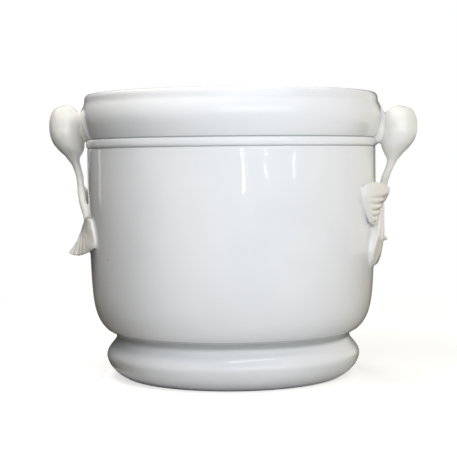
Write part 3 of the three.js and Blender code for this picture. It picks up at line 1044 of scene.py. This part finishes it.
def handleField(fields, wall, x, y, z):
    # the parts of a handle and the slip round them as one, cut off a little inside the pot
    solid = fused(fields["bulb"], fields["pad"], fuseValues["padFillet"])
    solid = fused(solid, fields["branch"], fuseValues["branchFillet"])
    waves = [np.sin(rate * line + phase) for (rate, phase), line in zip(fuseValues["waves"], (x, y, z))]
    uneven = waves[0][:, None, None] * waves[1][None, :, None] * waves[2][None, None, :]
    solid += fuseValues["unevenness"] * uneven
    leaves = np.minimum(fields["lower"], fields["upper"])
    near = np.minimum(solid, leaves)
    share = (near - fuseValues["wallFillet"]) / (fuseValues["reach"] - fuseValues["wallFillet"])
    slip = wall - fuseValues["raise"] + np.clip(share, 0.0, 1.0) ** 2 * fuseValues["sink"]
    whole = fused(solid, slip, fuseValues["wallFillet"])
    whole = fused(whole, leaves, fuseValues["leafFillet"])
    whole = np.maximum(whole, near - fuseValues["reach"])
    return np.maximum(whole, -(wall + fuseValues["skin"])).astype(np.float32)


def makeHandle(side, values):
    turn, fork = values["turn"], values["fork"]
    lowerTop, upperTop = fork + values["lowerRaise"], fork + values["upperRaise"]
    parts = {
        "bulb": bulbAndStem(values),
        "pad": pad(values),
        "branch": branchEnd(values),
        "lower": leaf(side + "LowerLeaf", turn, lowerTop, lowerLeafValues, values["lowerFlare"]),
        "upper": leaf(side + "UpperLeaf", turn, upperTop, upperLeafValues, values["upperFlare"]),
    }
    cell = fuseValues["cell"]
    grid = openvdb.createLinearTransform(voxelSize=cell)
    margin = fuseValues["reach"] + 3 * cell
    every = np.concatenate([part[0] for part in parts.values()])
    low = np.floor((every.min(axis=0) - margin) / cell).astype(int)
    shape = np.ceil((every.max(axis=0) + margin) / cell).astype(int) - low + 1
    corner = tuple(int(c) for c in low)
    fields = distanceFields(parts, cell, grid, corner, shape)
    x, y, z = [(low[k] + np.arange(shape[k])) * cell for k in range(3)]
    wall = wallField(x, y, z)
    whole = handleField(fields, wall, x, y, z)
    result = openvdb.FloatGrid(fuseValues["band"])
    result.transform = grid
    result.copyFromArray(whole, ijk=corner)
    places, quads = result.convertToQuads(isovalue=0.0)
    mesh = newMesh(side + "Handle", places * mm, [], quads.tolist())
    mesh.validate()
    mesh.polygons.foreach_set("use_smooth", np.ones(len(mesh.polygons), bool))
    spots = places / cell - low
    away = (sampled(wall, spots) - fuseValues["tintFrom"]) / fuseValues["tintOver"]
    setAttribute(mesh, "hollow", -sampled(bendOf(whole, cell), spots))
    setAttribute(mesh, "offWall", np.clip(away, 0.0, 1.0))
    mesh.materials.append(handleGlaze)
    volume = pointOut(mesh)
    addPiece(side + "Handle", mesh, [side + "_" + part for part in handleParts])
    print(side + "Handle", len(mesh.polygons), "faces", round(volume, 2), "cm3")


for side, values in handleValues.items():
    makeHandle(side, values)


# Floor, backdrop and light

stageValues = {
    "floorSize": 12.0,
    "floorColour": (0.58, 0.575, 0.565),
    "lift": 0.64,          # added for the eye, so the floor reads white
    "fadeFrom": 0.22,      # the floor fades into the white backdrop between these distances
    "fadeTo": 0.6,
    "worldLight": 0.125,
    "worldTint": (1.0, 0.93, 0.84),
}

cardValues = {             # dark cards round the pot, soft at their ends, which give its outline
    "leftCard": {"from": -177.0, "to": -40.0, "fadeFrom": 4.0, "fadeTo": 60.0},
    "rightCard": {"from": 140.0, "to": 177.0, "fadeFrom": 22.0, "fadeTo": 4.0},
}

cardShape = {
    "radius": 0.95,
    "height": 1.3,
    "fadeTop": 0.7,        # share of the height over which the top fades
    "steps": 40,
    "rows": 12,
    "colour": (0.02, 0.02, 0.022),
}

clothValues = {            # dark cloths on the floor beside the pot, soft at their ends
    "leftCloth": {"from": -177.0, "to": -22.0, "fadeFrom": 4.0, "fadeTo": 62.0},
    "rightCloth": {"from": 72.0, "to": 177.0, "fadeFrom": 55.0, "fadeTo": 4.0},
}

clothShape = {
    "inner": 0.091,
    "outer": 0.95,
    "height": 0.001,
    "steps": 48,
    "colour": (0.085, 0.064, 0.042),
}

lampValues = {
    # azimuth, elevation, distance, size, power, colour, whether glossy surfaces show the lamp
    "keyBox": (17.0, 19.0, 0.52, (0.34, 0.26), 1.01, (0.965, 0.98, 1.0), False),
    "leftTop": (-48.0, 63.0, 0.52, (0.2, 0.2), 1.3, (1.0, 0.94, 0.84), False),
    "rightFill": (110.0, 16.0, 0.85, (0.5, 0.5), 2.0, (1.0, 0.84, 0.54), False),
    "leftFill": (-112.0, 30.0, 0.35, (0.12, 0.12), 0.12, (0.93, 0.965, 1.0), False),
    "rearBox": (205.0, 48.0, 0.8, (0.4, 0.4), 3.2, (1.0, 1.0, 1.0), False),
    "footFill": (12.0, -9.0, 0.5, (0.3, 0.03), 0.03, (1.0, 1.0, 1.0), False),
    "collarFill": (-50.0, 16.0, 0.34, (0.12, 0.08), 0.02, (0.98, 0.99, 1.0), False),
    "window": (23.0, 15.0, 1.5, (1.6, 0.5), 3.8, (0.96, 0.985, 1.0), True),
    "rimStrip": (-116.0, 2.6, 0.85, (0.06, 0.1), 0.018, (1.0, 0.98, 0.94), True),
    "overStrip": (30.0, 58.0, 1.0, (0.6, 0.07), 0.65, (1.0, 1.0, 1.0), True),
}

sparkles = [
    # small lamps that the glaze shows as dots: azimuth, height, power
    (14.1, 0.164, 0.06), (13.3, 0.153, 0.03), (13.3, 0.135, 0.03), (13.3, 0.117, 0.03),
    (29.4, 0.162, 0.06), (31.0, 0.137, 0.03), (52.0, 0.160, 0.05),
]

sparkleShape = {
    "distance": 1.6,
    "size": (0.05, 0.006),
    "colour": (1.0, 1.0, 1.0),
}

lampMiddle = 0.1              # height that every lamp faces


def seenRay(tree):
    # 1 for the rays that show the background: camera, glossy and transmission
    path = newNode(tree, "ShaderNodeLightPath").outputs
    both = calc(tree, "MAXIMUM", path["Is Camera Ray"], path["Is Glossy Ray"])
    return calc(tree, "MAXIMUM", both, path["Is Transmission Ray"])


def blankMaterial(name):
    material = bpy.data.materials.new(name)
    material.use_nodes = True
    material.node_tree.nodes.clear()
    return material, material.node_tree


def mixShaders(tree, share, first, second):
    # the blend of two shaders, as the material's surface
    mixed = newNode(tree, "ShaderNodeMixShader", {0: share, 1: first, 2: second})
    newNode(tree, "ShaderNodeOutputMaterial", {"Surface": mixed.outputs[0]})


def makeFloor(values):
    half = values["floorSize"] / 2
    corners = [(-half, -half, 0), (half, -half, 0), (half, half, 0), (-half, half, 0)]
    mesh = newMesh("floor", corners, [], [(0, 1, 2, 3)])
    newObject("floor", mesh)
    material, tree = blankMaterial("paleFloor")
    looked = newNode(tree, "ShaderNodeLightPath").outputs["Is Camera Ray"]
    matt = newNode(tree, "ShaderNodeBsdfDiffuse", {"Color": opaque(values["floorColour"])})
    glow = newNode(tree, "ShaderNodeEmission", {"Strength": times(tree, looked, values["lift"])})
    near = newNode(tree, "ShaderNodeAddShader", {0: matt.outputs[0], 1: glow.outputs[0]})
    place = newNode(tree, "ShaderNodeTexCoord").outputs["Object"]
    length = newNode(tree, "ShaderNodeVectorMath", {0: place}, operation="LENGTH")
    fade = ramp(tree, length.outputs["Value"], values["fadeFrom"], values["fadeTo"])
    white = newNode(tree, "ShaderNodeEmission")
    mixShaders(tree, times(tree, seenRay(tree), fade), near.outputs[0], white.outputs[0])
    mesh.materials.append(material)


def makeWorld(values):
    world = bpy.data.worlds.new("studio")
    scene.world = world
    world.use_nodes = True
    tree = world.node_tree
    ground = tree.nodes["Background"]
    seen = seenRay(tree)
    tint = blendColour(tree, seen, opaque(values["worldTint"]), opaque((1.0, 1.0, 1.0)))
    feed(tree, ground.inputs["Color"], tint)
    spare = times(tree, minus(tree, 1.0, seen), values["worldLight"])
    feed(tree, ground.inputs["Strength"], plus(tree, seen, spare))


def softly(share):
    share = min(max(share, 0.0), 1.0)
    return share * share * (3.0 - 2.0 * share)


def turnsOf(values, steps):
    # azimuths along a card or cloth, each with its strength: 0 at both ends, 1 between them
    for step in range(steps + 1):
        turn = values["from"] + (values["to"] - values["from"]) * step / steps
        start = softly((turn - values["from"]) / values["fadeFrom"])
        yield turn, start * softly((values["to"] - turn) / values["fadeTo"])


def addCard(name, mesh, shades, colour):
    setAttribute(mesh, "shade", shades)
    card = newObject(name, mesh)
    card.visible_camera = False
    material, tree = blankMaterial(name)
    clear = newNode(tree, "ShaderNodeBsdfTransparent")
    dark = newNode(tree, "ShaderNodeBsdfDiffuse", {"Color": opaque(colour)})
    shade = newNode(tree, "ShaderNodeAttribute", attribute_name="shade").outputs["Fac"]
    mixShaders(tree, shade, clear.outputs[0], dark.outputs[0])
    mesh.materials.append(material)
    return card


def makeCard(name, values, shape):
    rows = shape["rows"]
    corners, shades = [], []
    for turn, strength in turnsOf(values, shape["steps"]):
        for row in range(rows + 1):
            corners.append(spotAt(turn, shape["radius"], shape["height"] * row / rows))
            shades.append(strength * softly((1.0 - row / rows) / shape["fadeTop"]))
    mesh = newMesh(name, corners, [], gridFaces(shape["steps"] + 1, rows + 1))
    addCard(name, mesh, shades, shape["colour"])


def makeCloth(name, values, shape):
    corners, shades = [], []
    for turn, strength in turnsOf(values, shape["steps"]):
        for radius in (shape["inner"], shape["outer"]):
            corners.append(spotAt(turn, radius, shape["height"]))
            shades.append(strength)
    mesh = newMesh(name, corners, [], gridFaces(shape["steps"] + 1, 2))
    addCard(name, mesh, shades, shape["colour"]).visible_shadow = False


def makeLamp(name, azimuth, elevation, distance, size, power, colour, seen):
    data = bpy.data.lights.new(name, "AREA")
    data.shape = "RECTANGLE"
    data.size, data.size_y = size
    data.energy = power
    data.color = colour
    lamp = newObject(name, data)
    lamp.visible_camera = False
    lamp.visible_glossy = seen
    angle = math.radians(elevation)
    away = spotAt(azimuth, math.cos(angle), math.sin(angle))
    place = Vector((0.0, 0.0, lampMiddle)) + away * distance
    lamp.matrix_world = Matrix.Translation(place) @ away.to_track_quat("Z", "Y").to_matrix().to_4x4()


makeFloor(stageValues)
makeWorld(stageValues)
for name, values in cardValues.items():
    makeCard(name, values, cardShape)
for name, values in clothValues.items():
    makeCloth(name, values, clothShape)
for name, values in lampValues.items():
    makeLamp(name, *values)
for number, (azimuth, height, power) in enumerate(sparkles):
    elevation = math.degrees(math.asin((height - lampMiddle) / sparkleShape["distance"]))
    makeLamp("sparkle%d" % number, azimuth, elevation, power=power, seen=True, **sparkleShape)
print("stage and lamps set")
